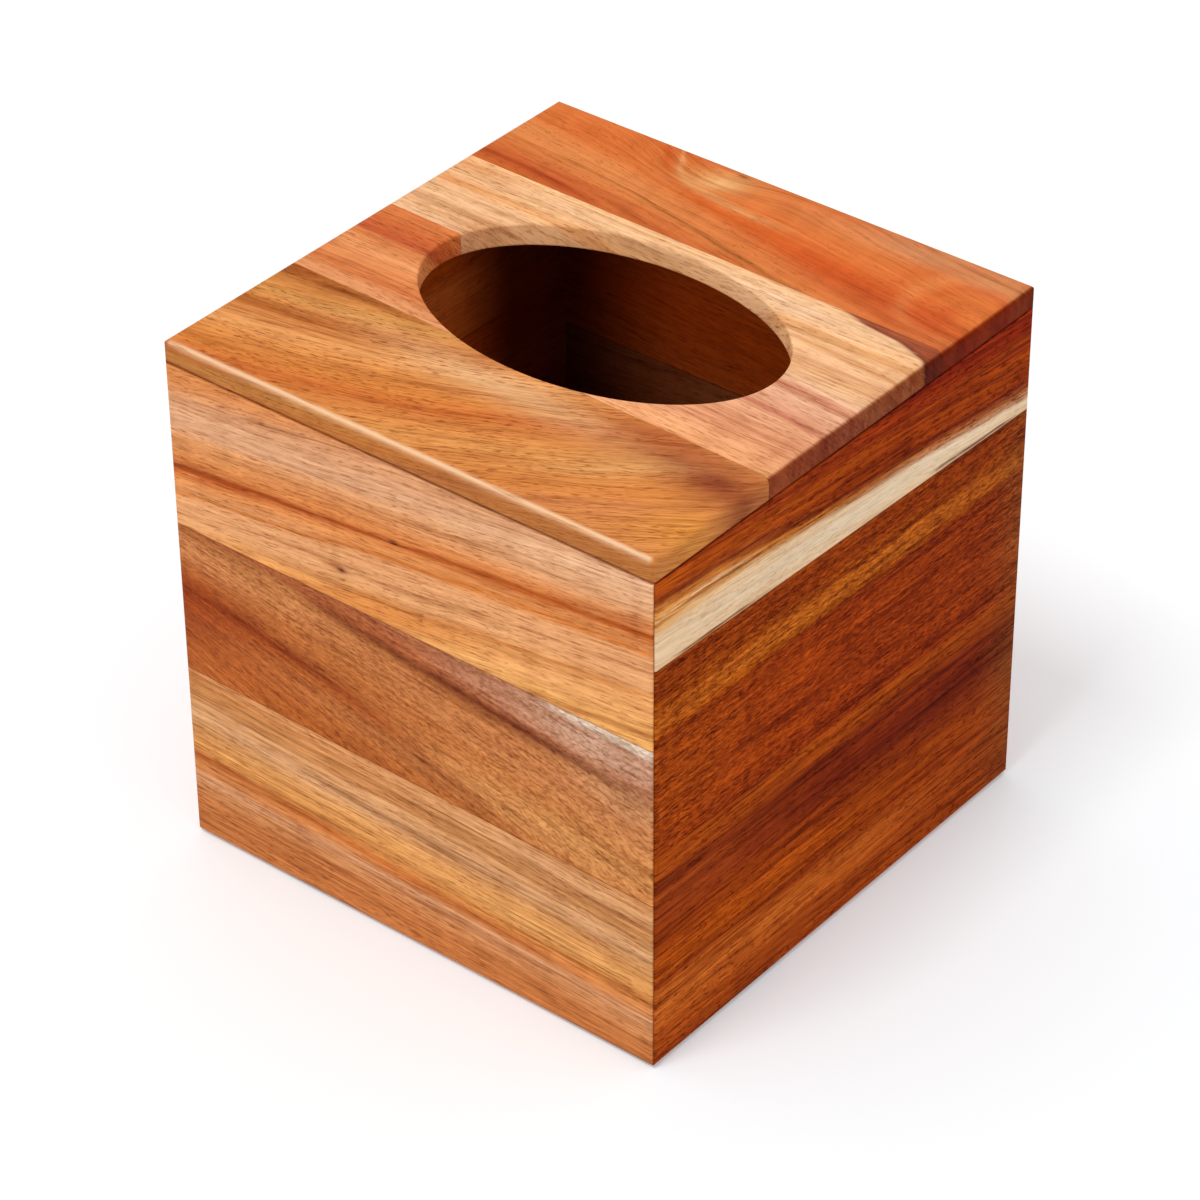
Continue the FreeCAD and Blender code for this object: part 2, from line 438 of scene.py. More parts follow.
def board_wood(name, face, light, seed, flow, tones, joints, changes, figure=None, edges=None):
    """Solid wood in board coordinates: bands of tone along the grain, growth lines, flecks and open pores."""
    look = {**USUAL_LOOK, **changes}
    bite = look["bite"]
    calm = 1.0
    material = bpy.data.materials.new(name)
    material.use_nodes = True
    tree = material.node_tree
    tree.nodes.clear()
    position = Wire(tree.nodes.new("ShaderNodeTexCoord").outputs["Object"])
    u, v, depth = face(*[axis / MM for axis in position.apart()])

    def grain(across, length, pitch, octaves, roughness=0.6, shear=0.0):
        """Noise drawn out along the grain, about one feature for each length and pitch."""
        lengthwise = u / length + seed * SEED_ALONG
        crosswise = (across + u * shear) / pitch
        inwards = depth / (pitch * 4) + seed * SEED_INWARD
        place = lengthwise.together(crosswise, inwards)
        values = {"Vector": place, "Scale": 1.0, "Detail": octaves, "Roughness": roughness}
        return place.add("ShaderNodeTexNoise", {}, values)

    def shaded(colour, noise, dark, pale):
        """Darker where a noise is high and paler where it is low."""
        colour = (noise.rise(0.50, 0.50 + bite) * dark * calm).over(colour, LINE_TINT, "MULTIPLY")
        return (noise.rise(0.50, 0.50 - bite) * pale * calm).over(colour, GLOW_TINT, "MULTIPLY")

    drift = (grain(v, length=70.0, pitch=13.0, octaves=2.0) - 0.5) * look["wander"]
    across = flow(u, v) + depth * look["tilt"] + drift
    fray = (grain(across, length=30.0, pitch=1.4, octaves=4.0, roughness=0.7) - 0.5) * look["fray"]
    first = tones[0][0]
    last = tones[-1][0]
    stops = [((place - first) / (last - first), tone(code, light)) for place, code in tones]
    share = (across + fray - first) / (last - first)
    colour = u.add("ShaderNodeValToRGB", {"stops": stops}, {"Fac": share})
    if figure:
        broken = grain(across, length=12.0, pitch=1.6, octaves=3.0).rise(0.15, 0.50)
        laid = Figure(u, v + drift + fray * 0.5, light, colour, broken)
        figure(laid)
        colour = laid.colour
        calm = laid.calm

    lines = grain(across, length=70.0, pitch=2.6, octaves=6.0, roughness=0.72)
    colour = shaded(colour, lines, look["lines"], look["lines"] * 0.8)
    strands = grain(across, length=45.0, pitch=0.9, octaves=4.0, roughness=0.7)
    colour = shaded(colour, strands, look["strands"], look["strands"] * 0.9)
    fibres = grain(across, length=9.0, pitch=0.6, octaves=3.0, roughness=0.75)
    colour = shaded(colour, fibres, look["fibres"], look["fibres"] * 0.8)
    zones = grain(across, length=40.0, pitch=9.0, octaves=1.0).rise(0.25, 0.55)
    holes = grain(across, look["pore_length"], look["pore_pitch"], octaves=1.0)
    pores = holes.rise(look["pore_start"], look["pore_start"] + PORE_SOFTNESS) * zones
    colour = (pores * look["pore_depth"] * calm).over(colour, PORE_TINT, "MULTIPLY")
    if look["flecks"]:
        for shear in (FLECK_SHEAR, -FLECK_SHEAR):
            flecks = grain(across, length=2.0, pitch=0.48, octaves=1.0, shear=shear)
            colour = shaded(colour, flecks, look["flecks"], look["flecks"] * 0.7)
    ripple = grain(across, length=6.0, pitch=30.0, octaves=1.0)
    colour = shaded(colour, ripple, look["ripple"], look["ripple"])
    for place, climb in joints:
        off_line = (v - place + (u - HALF) * (climb / SIDE)).math("ABSOLUTE")
        colour = (off_line.rise(0.30, 0.08) * look["glue"]).over(colour, GLUE_AND_SHADOW_TINT, "MULTIPLY")
    if edges:
        colour = edges(colour, u, v, depth, grain)

    relief = pores * -PORE_DIP - lines.rise(0.47, 0.75) * LINE_DIP - fibres * FIBRE_DIP
    heights = {"Height": relief, "Strength": RELIEF_STRENGTH, "Distance": RELIEF_HEIGHT * MM}
    bump = relief.add("ShaderNodeBump", {}, heights)
    surface = {
        "Base Color": colour,
        "Roughness": lines * LINE_MATT + pores * PORE_MATT + look["satin"],
        "Normal": bump,
        "Specular IOR Level": look["sheen"],
    }
    shader = bump.add("ShaderNodeBsdfPrincipled", {}, surface)
    shader.add("ShaderNodeOutputMaterial", {}, {"Surface": shader})
    return material


def wall_edges(shade_start=48.0, shade_full=10.0):
    """Real glue along the mitres, a painted shadow line under the lid, and painted shade in the inside
    corners that darkens from one place to another.
    """

    def edged(colour, u, v, depth, grain):
        off_end = HALF - (u - HALF).math("ABSOLUTE")
        # Painted shadow line along the top of the wall, under the lid.
        seam = (v - (HEIGHT - WALL_TOP)).rise(0.55, 0.15)
        joint = off_end.rise(0.6, 0.25).math("MAXIMUM", seam)
        colour = (joint * MITRE_GLUE_AND_SEAM_SHADOW).over(colour, GLUE_AND_SHADOW_TINT, "MULTIPLY")
        # Painted shade: the inner faces darken towards both ends, where the inside corners are.
        inside = depth.rise(WALL_THICKNESS - 1.2, WALL_THICKNESS - 0.1)
        corner = inside * off_end.rise(shade_start, shade_full)
        return (corner * CORNER_SHADE).over(colour, CORNER_SHADE_TINT, "MULTIPLY")

    return edged


usual_edges = wall_edges()
FRONT_LIGHT = (0.89, 0.006)
FRONT_UPPER_LINE = (90.0, -0.5)
FRONT_LOWER_LINE = (48.2, -2.3)
front_joints = [(HEIGHT - place, climb) for place, climb in (FRONT_UPPER_LINE, FRONT_LOWER_LINE)]
PIN_KNOT = "5e2a12"


def front_upper_figure(wood):
    """A red-brown streak that climbs to the right past two pin knots, and gold in the lower right corner."""
    red_line = [(0, 33.4), (33, 30.6), (67, 26.6), (100, 23.2), (140, 20.0)]
    wood.patch("d6a17b", (18, 17.5), (38, 4.5), 0.6, -0.08)
    wood.patch("ddae86", (115, 12.5), (40, 5.0), 0.6, -0.08)
    wood.patch("e2a268", (118, 42.5), (40, 4.5), 0.7, -0.13)
    wood.patch("d27e3e", (62, 47.5), (25, 3.0), 0.7, -0.10)
    wood.streak("d0763c", red_line, 2.4, 0.65)
    wood.patch("dfae88", (134, 9.0), (18, 6.0), 0.6)
    wood.streak("b95b28", [(0, 34.8), (30, 31.8), (60, 27.6)], 1.6, 0.95, [(62, 14)])
    wood.streak("9a461b", red_line, 0.8, 1.0)
    wood.streak("a85220", [(60, 27.9), (100, 23.8), (140, 20.4)], 1.2, 0.7, [(60, 90)])
    wood.streak("c8702f", [(40, 35.0), (80, 30.2), (110, 27.0), (140, 25.0)], 0.7, 0.9, [(40, 60)])
    wood.streak("c4702f", [(0, 41.0), (40, 36.3), (60, 33.0)], 0.6, 0.8, [(65, 45)])
    wood.streak("cf8040", [(40, 48.4), (90, 41.5), (140, 35.5)], 0.6, 0.7, [(40, 60)])
    wood.streak("b06c36", [(110, 50.2), (125, 47.6), (140, 45.8)], 0.7, 0.8, [(108, 122)])
    wood.patch(PIN_KNOT, (67.5, 26.6), (1.7, 0.7))
    wood.patch("a85a2c", (49, 40.8), (4.0, 0.9), 0.6)
    wood.patch(PIN_KNOT, (51.3, 41.1), (1.5, 0.8))


def front_middle_figure(wood):
    """A blotchy dark streak under purple-grey wood and a cream corner, and a red one over rust and gold."""
    dark_line = [(0, 50.0), (30, 51.8), (60, 56.0), (80, 58.4), (100, 60.6), (140, 64.4)]
    red_line = [(0, 67.5), (25, 70.6), (60, 78.5), (100, 91.2)]
    wood.patch("cb8854", (18, 57.5), (30, 4.5), 0.8, 0.06)
    wood.patch("b05c2c", (4, 80.0), (30, 7.5), 0.75, 0.12)
    wood.patch("963f1a", (2, 69.0), (26, 9.5), 0.95, 0.12)
    wood.patch("b0642f", (42, 64.0), (30, 5.0), 0.5, 0.12)
    wood.patch("c48450", (92, 85.0), (50, 5.0), 0.6, 0.10)
    wood.patch("d09156", (122, 85.5), (40, 8.0), 0.8, 0.05)
    wood.band("a5572f", [(30, 47.0), (140, 47.0)], dark_line, 1.2, 0.85)
    wood.patch("c89e84", (124, 56.0), (32, 5.0), 0.9, 0.08)
    wood.patch("b27a5a", (95, 54.0), (16, 4.0), 0.6, 0.10)
    wood.streak("8c4826", dark_line, 1.6, 0.85, [(28, 50), (190, 100)])
    wood.streak("6c321c", dark_line, 0.9, 0.9, [(40, 75), (150, 100)])
    wood.streak("f2dfca", [(100, 49.5), (120, 50.3), (140, 51.2)], 1.8, 1.0, [(98, 122)])
    wood.streak("a04a1c", red_line, 3.0, 0.55, [(115, 50)])
    wood.streak("843614", red_line, 1.1, 0.95, [(85, 25)])
    wood.patch("84461f", (73, 84.0), (2.6, 0.9), 0.6, 0.20)
    wood.patch("c8966e", (134, 67.0), (18, 6.0), 0.5, 0.08)


def front_lower_figure(wood):
    """Long thin grey-brown lines in the pale upper half, then orange blotches that draw out into one line."""
    wood.patch("d8a676", (112, 96.5), (48, 4.0), 0.6, 0.04)
    wood.streak("a36c3d", [(0, 97.0), (60, 97.8), (140, 103.0)], 0.6, 0.7)
    wood.streak("a9744a", [(40, 104.6), (90, 107.8), (140, 109.5)], 0.7, 0.8, [(30, 60)])
    wood.streak("a06c40", [(80, 100.8), (140, 104.5)], 0.5, 0.7, [(70, 90)])
    wood.patch("dca263", (105, 116.3), (30, 2.0), 0.7, 0.04)
    wood.streak("bb662f", [(10, 116.5), (40, 118.5), (75, 121.0), (140, 122.4)], 1.1, 0.9, [(160, 50)])


front_upper_wood = board_wood(
    "front_upper_wood", front_face, FRONT_LIGHT, 1, lambda u, v: v + (u - HALF) * 0.105,
    [(-3, "d08048"), (3, "d5884f"), (8, "d4966a"), (14, "d69c73"), (19, "d68f58"), (24, "d3844a"),
     (30, "d68a50"), (35, "da9a68"), (40, "db9c69"), (46, "dc9654"), (52, "e0a05a"), (58, "e2a15c")],
    front_joints, {"tilt": 0.4, "fibres": 0.95}, front_upper_figure, usual_edges,
)
front_middle_wood = board_wood(
    "front_middle_wood", front_face, FRONT_LIGHT, 2, lambda u, v: (v + u * 0.28) / (u * 0.0076 + 1),
    [(42, "e6c4a8"), (44, "c79a80"), (47, "bb8560"), (49, "a9683f"), (51, "ad6a38"), (53, "bf7846"),
     (57, "c07a48"), (60, "ba6f3a"), (64, "b66a35"), (67, "b0602a"), (71, "b3642f"), (78, "b06029"),
     (86, "b4632e"), (93, "b8683a")],
    front_joints,
    {"tilt": 0.3, "wander": 2.0, "fibres": 0.95, "flecks": 0.5,
     "pore_length": 2.0, "pore_depth": 0.6, "pore_start": 0.55},
    front_middle_figure, usual_edges,
)
front_lower_wood = board_wood(
    "front_lower_wood", front_face, FRONT_LIGHT, 3, lambda u, v: v - u * 0.035,
    [(86, "c98852"), (91, "cc8a56"), (94, "c07e49"), (97.5, "c68650"), (101, "cf9766"), (104, "d5a071"),
     (107, "c98e58"), (109.5, "d8985a"), (113, "d39150"), (116, "cc8446"), (119, "c97f48"), (122, "d2966a"),
     (125, "cc8a58"), (129, "bf7642"), (134, "bc723e"), (141, "be7642")],
    front_joints, {"tilt": 0.5, "wander": 3.0, "lines": 1.0, "strands": 0.9, "fibres": 0.95},
    front_lower_figure, usual_edges,
)
wall_board("front_wall_upper", 0, FRONT_UPPER_LINE, OVER_TOP, front_upper_wood)
wall_board("front_wall_middle", 0, FRONT_LOWER_LINE, FRONT_UPPER_LINE, front_middle_wood)
wall_board("front_wall_lower", 0, UNDER_FOOT, FRONT_LOWER_LINE, front_lower_wood)

# Right wall
# Three darker red-brown boards with the grain lying level, glued edge to edge, mitred and oiled as on the
# front. The upper one keeps a cream strip of sapwood along its lower edge.
RIGHT_LIGHT = (0.71, 0.006)
RIGHT_UPPER_LINE = (108.8, -4.5)
RIGHT_LOWER_LINE = (58.3, -4.4)
RIGHT_LOOK = {"bite": 0.16, "lines": 1.0, "strands": 1.0, "fibres": 1.0, "pore_depth": 0.9, "sheen": 0.008}
right_joints = [(HEIGHT - place, climb) for place, climb in (RIGHT_UPPER_LINE, RIGHT_LOWER_LINE)]


def right_face(x, y, z):
    """Along the grain, down from the top and into the wood, on the right wall."""
    return y + HALF, HEIGHT - z, HALF - x


def right_upper_figure(wood):
    """Cream sapwood along the lower edge, gold above it at the front end, and frayed dark lines beside it."""
    sap_line = [(0, 17.8), (20, 17.4), (40, 18.8), (60, 21.4), (100, 25.6), (140, 29.6)]
    wood.patch("94421a", (36, 7.0), (28, 6.0), 0.6, 0.05)
    wood.patch("7e2a0a", (104, 10.0), (22, 7.0), 0.5)
    wood.streak("6a2208", [(30, 6.4), (90, 10.5), (140, 16.0)], 0.7, 0.6)
    wood.streak("641f07", [(60, 9.5), (100, 14.5), (140, 20.5)], 0.9, 0.5, [(50, 90)])
    wood.streak("a04a18", [(0, 7.6), (60, 11.0), (140, 13.8)], 0.9, 0.5)
    wood.patch("cf8c48", (0, 15.2), (30, 3.4), 0.95, 0.06)
    wood.patch("b46a2c", (36, 17.2), (20, 1.7), 0.7, 0.10)
    dark_line = [(0, 10.6), (20, 12.4), (40, 15.6), (60, 18.6), (100, 22.0), (140, 25.0)]
    wood.streak("642408", dark_line, 1.0, 0.65)
    wood.streak("b06c36", [(40, 17.8), (60, 20.2), (100, 24.2), (140, 28.0)], 1.0, 0.8, [(46, 70)])
    wood.calm = 1.0 - wood.band("dbb993", sap_line, [(0, 40.0), (140, 40.0)], 0.9) * 0.7
    wood.patch("e6d0b2", (75, 27.0), (60, 2.6), 0.9, 0.05)
    wood.streak("cf9448", [(0, 18.6), (40, 18.8), (80, 23.6)], 0.9, 0.7, [(84, 30)])
    wood.streak("e2c092", [(0, 15.6), (20, 15.9), (40, 17.6)], 0.5, 0.8, [(44, 24)])
    wood.streak("6e3714", [(6, 28.3), (20, 29.0), (40, 30.0)], 0.4, 1.0, [(5, 12), (38, 30)])
    wood.streak("55280f", [(100, 31.2), (120, 31.9), (140, 32.6)], 0.4, 0.9, [(98, 106), (138, 128)])


def right_middle_figure(wood):
    """Deeper red-brown towards the back end."""
    wood.patch("80330e", (130, 64.0), (50, 26.0), 0.55)
    wood.patch("7e4a26", (142, 64.0), (11, 40.0), 0.65)
    wood.patch("a04c1a", (4, 58.0), (32, 26.0), 0.55)


def right_lower_figure(wood):
    """A dark heart line that deepens towards the back, over orange-brown wood."""
    wood.patch("5a1f09", (126, 103.0), (58, 7.0), 0.75, 0.03)
    wood.patch("94441c", (8, 92.0), (38, 9.0), 0.6)
    wood.patch("83350f", (128, 124.0), (60, 16.0), 0.75)
    wood.patch("b45f27", (18, 123.0), (45, 5.5), 0.8, 0.04)
    wood.patch("7a4624", (142, 112.0), (12, 40.0), 0.7)
    wood.streak("5a1e08", [(0, 89.2), (60, 90.2), (140, 92.6)], 0.8, 0.7)
    wood.streak("752c0d", [(0, 116.2), (60, 117.6), (140, 119.4)], 0.7, 0.8)


right_upper_wood = board_wood(
    "right_upper_wood", right_face, RIGHT_LIGHT, 4, lambda u, v: v - u * 0.085,
    [(-8, "7e270a"), (-5, "8a2f0c"), (-2, "7a2508"), (1, "8e350e"), (4, "8a3410"), (7, "96400f"),
     (11, "8a3810"), (16, "86360f"), (22, "7a2e0c")],
    right_joints,
    {**RIGHT_LOOK, "tilt": 0.4, "wander": 3.0, "pore_length": 2.4, "pore_pitch": 0.55, "pore_start": 0.52},
    right_upper_figure, usual_edges,
)
right_middle_wood = board_wood(
    "right_middle_wood", right_face, RIGHT_LIGHT, 5, lambda u, v: v - u * 0.02,
    [(26, "8a3c12"), (31, "8a3c12"), (35, "8a3b10"), (38, "954614"), (41, "a8581e"), (44.5, "ac5e20"),
     (46.5, "984c16"), (48, "80340c"), (50, "8c380c"), (55, "923c0e"), (62, "8e390c"), (68, "8a370a"),
     (73, "923b0d"), (79, "86340c")],
    right_joints,
    {**RIGHT_LOOK, "tilt": 0.3, "wander": 2.5, "strands": 0.9, "flecks": 0.75,
     "pore_length": 2.0, "pore_start": 0.51},
    right_middle_figure, usual_edges,
)
right_lower_wood = board_wood(
    "right_lower_wood", right_face, RIGHT_LIGHT, 6, lambda u, v: v - u * 0.02,
    [(76, "954216"), (81, "954317"), (85, "8e3f15"), (88, "7c3112"), (92, "742b10"), (96, "6c260c"),
     (100, "7c3112"), (103, "8a3a16"), (106, "8c3c14"), (109, "a04918"), (113, "9c4716"), (117, "944216"),
     (122, "ac5822"), (127, "a5501e"), (132, "97451b"), (140, "90401a")],
    right_joints,
    {**RIGHT_LOOK, "tilt": 0.4, "wander": 3.0, "pore_length": 2.2, "pore_pitch": 0.55, "pore_start": 0.54},
    right_lower_figure, usual_edges,
)
wall_board("right_wall_upper", 1, RIGHT_UPPER_LINE, OVER_TOP, right_upper_wood)
wall_board("right_wall_middle", 1, RIGHT_LOWER_LINE, RIGHT_UPPER_LINE, right_middle_wood)
wall_board("right_wall_lower", 1, UNDER_FOOT, RIGHT_LOWER_LINE, right_lower_wood)

# Back wall
# Three boards glued edge to edge, mitred and oiled as on the front. On their inner side the opening shows the
# joint of a red-brown board over a greyer one.
BACK_LIGHT = (0.50, 0.01)
BACK_UPPER_LINE = (83.0, -0.5)
BACK_LOWER_LINE = (47.0, 1.5)
QUIET_LOOK = {"tilt": 0.4, "wander": 5.0}
back_joints = [(HEIGHT - place, climb) for place, climb in (BACK_UPPER_LINE, BACK_LOWER_LINE)]


def back_face(x, y, z):
    """Along the grain, down from the top and into the wood, on the back wall."""
    return HALF - x, HEIGHT - z, HALF - y


back_upper_wood = board_wood(
    "back_upper_wood", back_face, BACK_LIGHT, 7, lambda u, v: v + u * 0.06,
    [(4, "b0521e"), (16, "b85824"), (28, "8e3a12"), (36, "ba5c28"), (50, "b05222"), (66, "b85e2a")],
    back_joints, QUIET_LOOK, edges=usual_edges,
)
back_middle_wood = board_wood(
    "back_middle_wood", back_face, BACK_LIGHT, 8, lambda u, v: v - u * 0.03,
    [(50, "94603e"), (62, "8c5636"), (72, "7e4c2e"), (84, "905c3c"), (96, "8a5636")],
    back_joints, QUIET_LOOK, edges=usual_edges,
)
back_lower_wood = board_wood(
    "back_lower_wood", back_face, BACK_LIGHT, 9, lambda u, v: v + u * 0.04,
    [(90, "8a3a10"), (104, "9c4a18"), (116, "78300c"), (128, "984616"), (146, "8a3c10")],
    back_joints, QUIET_LOOK, edges=usual_edges,
)
wall_board("back_wall_upper", 2, BACK_UPPER_LINE, OVER_TOP, back_upper_wood)
wall_board("back_wall_middle", 2, BACK_LOWER_LINE, BACK_UPPER_LINE, back_middle_wood)
wall_board("back_wall_lower", 2, UNDER_FOOT, BACK_LOWER_LINE, back_lower_wood)

# Left wall
# Three boards glued edge to edge, mitred and oiled as on the other walls, two of red amber over a brown one.
# Inside, the painted shade at their ends reaches further along.
LEFT_LIGHT = (0.62, 0.01)
LEFT_UPPER_LINE = (97.5, 1.8)
LEFT_LOWER_LINE = (51.5, 2.6)
left_edges = wall_edges(shade_start=55.0, shade_full=28.0)
left_joints = [(HEIGHT - place, climb) for place, climb in (LEFT_UPPER_LINE, LEFT_LOWER_LINE)]


def left_face(x, y, z):
    """Along the grain, down from the top and into the wood, on the left wall."""
    return HALF - y, HEIGHT - z, x + HALF


left_upper_wood = board_wood(
    "left_upper_wood", left_face, LEFT_LIGHT, 10, lambda u, v: v - u * 0.05,
    [(-4, "c66a32"), (10, "cc733a"), (20, "b05422"), (28, "c86c34"), (44, "c2642c")],
    left_joints, QUIET_LOOK, edges=left_edges,
)
left_middle_wood = board_wood(
    "left_middle_wood", left_face, LEFT_LIGHT, 11, lambda u, v: v + u * 0.05,
    [(38, "c4662e"), (52, "b85624"), (64, "ca6e36"), (78, "a84a1e"), (96, "c0602c")],
    left_joints, QUIET_LOOK, edges=left_edges,
)
left_lower_wood = board_wood(
    "left_lower_wood", left_face, LEFT_LIGHT, 12, lambda u, v: v - u * 0.03,
    [(82, "b4682e"), (98, "be7238"), (110, "98501e"), (122, "b86c34"), (142, "ae6228")],
    left_joints, QUIET_LOOK, edges=left_edges,
)
wall_board("left_wall_upper", 3, LEFT_UPPER_LINE, OVER_TOP, left_upper_wood)
wall_board("left_wall_middle", 3, LEFT_LOWER_LINE, LEFT_UPPER_LINE, left_middle_wood)
wall_board("left_wall_lower", 3, UNDER_FOOT, LEFT_LOWER_LINE, left_lower_wood)

# Corner splines
# A loose key of straight-grained wood lies glued in the grooves across each mitre and holds the corner. Only
# its lower end shows, under the foot.


def upright(x, y, z):
    """Along the grain of an upright piece, and two ways across it."""
    return z, x, y


spline_wood = board_wood(
    "spline_wood", upright, LEFT_LIGHT, 13, lambda u, v: v,
    [(-90, "c88c54"), (0, "be7e46"), (90, "c88c54")],
    [], {"tilt": 0.3, "wander": 2.0},
)
for corner in ("front_right", "back_right", "back_left", "front_left"):
    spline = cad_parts["corner_spline_" + corner]
    spline.data.materials.clear()
    spline.data.materials.append(spline_wood)

# Lid
# Four boards glued edge to edge with the grain along the box's width, rounded over outside and glued on top
# of the walls. The oval is cut through the glued panel and its rims are sanded round.
LID_ROUND_OVER = 2.0
OVAL_LENGTH = 96.0
OVAL_WIDTH = 62.0
RIM_ROUND = 0.6
OVAL_STEPS = 160
RIM_STEPS = 24
PLUG_PROUD = 0.01
LID_LIGHT = (1.06, 0.006)
LID_FRONT_LINE = (-29.0, -3.0)
LID_MIDDLE_LINE = (5.2, -2.4)
LID_BACK_LINE = (34.5, -2.0)
PAST_EDGE = HALF + OVERCUT


def oval_plug(sizes):
    """A solid that fits the oval, its middle third straight and both ends flared by the round of the rims."""
    shape = {"Vertices": OVAL_STEPS, "Side Segments": RIM_STEPS, "Radius": 1.0, "Depth": 3.0}
    plug = sizes["Side"].add("GeometryNodeMeshCylinder", {}, shape)
    x, y, level = plug.add("GeometryNodeInputPosition").apart()
    thickness = sizes["Lid Top"] - sizes["Lid Bottom"] + PLUG_PROUD * MM
    turn = (level.math("ABSOLUTE") - 0.5).math("MAXIMUM", 0.0) * QUARTER_TURN
    flare = sizes["Rim Round"] * (1.0 - turn.math("COSINE"))
    straight = level.math("MAXIMUM", -0.5).math("MINIMUM", 0.5) * (thickness - sizes["Rim Round"] * 2)
    bend = level.math("SIGN") * turn.math("SINE") * sizes["Rim Round"]
    height = (sizes["Lid Top"] + sizes["Lid Bottom"]) / 2 + straight + bend
    along = x * (sizes["Oval Length"] / 2 + flare)
    across = y * (sizes["Oval Width"] / 2 + flare)
    place = along.together(across, height)
    return plug.add("GeometryNodeSetPosition", {}, {"Geometry": plug, "Position": place})


def lid_tree():
    """A board of the lid, cut from the eased block by the oval, the glue lines and two end limits."""
    names = ["Side", "Lid Bottom", "Lid Top", "Corner Ease", "Seam Ease", "Round Over", "Oval Length"]
    names += ["Oval Width", "Rim Round", "Lower Line", "Lower Climb", "Upper Line", "Upper Climb"]
    names += ["Left End", "Right End"]
    sizes = sized_tree("lid_board", names)
    eases = (sizes["Corner Ease"], sizes["Seam Ease"], sizes["Round Over"])
    block = eased_block(sizes["Side"], sizes["Lid Bottom"], sizes["Lid Top"], *eases)
    strip = swept(between_glue_lines(sizes))
    left = sizes["Left End"]
    right = sizes["Right End"]
    edge = sizes["Side"]
    span = swept(four_sided([(left, -edge), (right, -edge), (right, edge), (left, edge)]))
    blank = boolean("INTERSECT", block + [strip, span])
    board = boolean("DIFFERENCE", [oval_plug(sizes)], blank)
    return finished_tree(board, sizes["Wood"])


LID_TREE = lid_tree()


def lid_board(node, lower, upper, wood, left=-PAST_EDGE, right=PAST_EDGE):
    """One lid board between two glue lines and two end limits."""
    sizes = {
        "Side": SIDE * MM,
        "Lid Bottom": WALL_TOP * MM,
        "Lid Top": HEIGHT * MM,
        "Corner Ease": CORNER_EASE * MM,
        "Seam Ease": SEAM_EASE * MM,
        "Round Over": LID_ROUND_OVER * MM,
        "Oval Length": OVAL_LENGTH * MM,
        "Oval Width": OVAL_WIDTH * MM,
        "Rim Round": RIM_ROUND * MM,
        "Lower Line": lower[0] * MM,
        "Lower Climb": lower[1] * MM,
        "Upper Line": upper[0] * MM,
        "Upper Climb": upper[1] * MM,
        "Left End": left * MM,
        "Right End": right * MM,
    }
    joinery_piece(node, LID_TREE, sizes, wood)


def lid_face(x, y, z):
    """Along the grain, towards the front edge and into the wood, on the lid."""
    return x + HALF, HALF - y, HEIGHT - z


LID_THICKNESS = HEIGHT - WALL_TOP
END_TINT = (0.33, 0.12, 0.06, 1.0)
# Painted shade on the lid's side faces.
SIDE_SHADE_TINT = (0.82, 0.80, 0.78, 1.0)
# Painted highlight along the lid's rounded-over sides.
PAINTED_EDGE_HIGHLIGHT = "f8cfa6"
# Painted light that makes the oval's rim paler.
RIM_LIGHT_TINT = (1.30, 1.24, 1.16, 1.0)
END_RINGS = 0.5
EDGE_HIGHLIGHT_COVER = 0.85
SEAM_SHADOW = 0.7


def lid_edges(end_cover):
    """Dark ringed end grain, painted shade on the side faces, a painted highlight along the round-over of the
    sides, painted light on the rim and a painted shadow line at the seam over the walls.
    """

    def edged(colour, u, v, depth, grain):
        off_end = HALF - (u - HALF).math("ABSOLUTE")
        off_side = HALF - (v - HALF).math("ABSOLUTE")
        off_edge = off_side.math("MINIMUM", off_end)
        end = off_end.rise(1.0, 0.25) * end_cover
        colour = end.over(colour, END_TINT, "MULTIPLY")
        rings = grain(v, length=300.0, pitch=2.4, octaves=3.0).rise(0.46, 0.62)
        colour = (end * rings * END_RINGS).over(colour, LINE_TINT, "MULTIPLY")
        # Painted shade: the side faces below the round-over are darkened.
        colour = off_side.rise(0.5, 0.1).over(colour, SIDE_SHADE_TINT, "MULTIPLY")
        # Painted highlight: a pale line along the round-over of the long sides.
        edge_highlight = off_side.bell(0.65, 0.45) * depth.rise(2.4, 1.4) * off_end.rise(0.5, 2.0)
        edge_highlight = edge_highlight * grain(v, length=16.0, pitch=0.6, octaves=2.0).rise(0.20, 0.50)
        colour = (edge_highlight * EDGE_HIGHLIGHT_COVER).over(colour, tone(PAINTED_EDGE_HIGHLIGHT, LID_LIGHT))
        # Painted light: the rim and the lid's underside are made paler.
        rim = depth.rise(0.1, 0.5) * off_edge.rise(6.0, 12.0)
        colour = rim.over(colour, RIM_LIGHT_TINT, "MULTIPLY")
        # Painted shadow line along the foot of the lid's edge, over the walls.
        seam = depth.rise(LID_THICKNESS - 0.7, LID_THICKNESS - 0.1) * off_edge.rise(1.0, 0.2)
        return (seam * SEAM_SHADOW).over(colour, GLUE_AND_SHADOW_TINT, "MULTIPLY")

    return edged


LID_LOOK = {"tilt": 0.8, "glue": 0.2, "sheen": 0.015}
usual_lid_edges = lid_edges(0.95)
lid_joints = [(HALF - place, climb) for place, climb in (LID_FRONT_LINE, LID_MIDDLE_LINE, LID_BACK_LINE)]


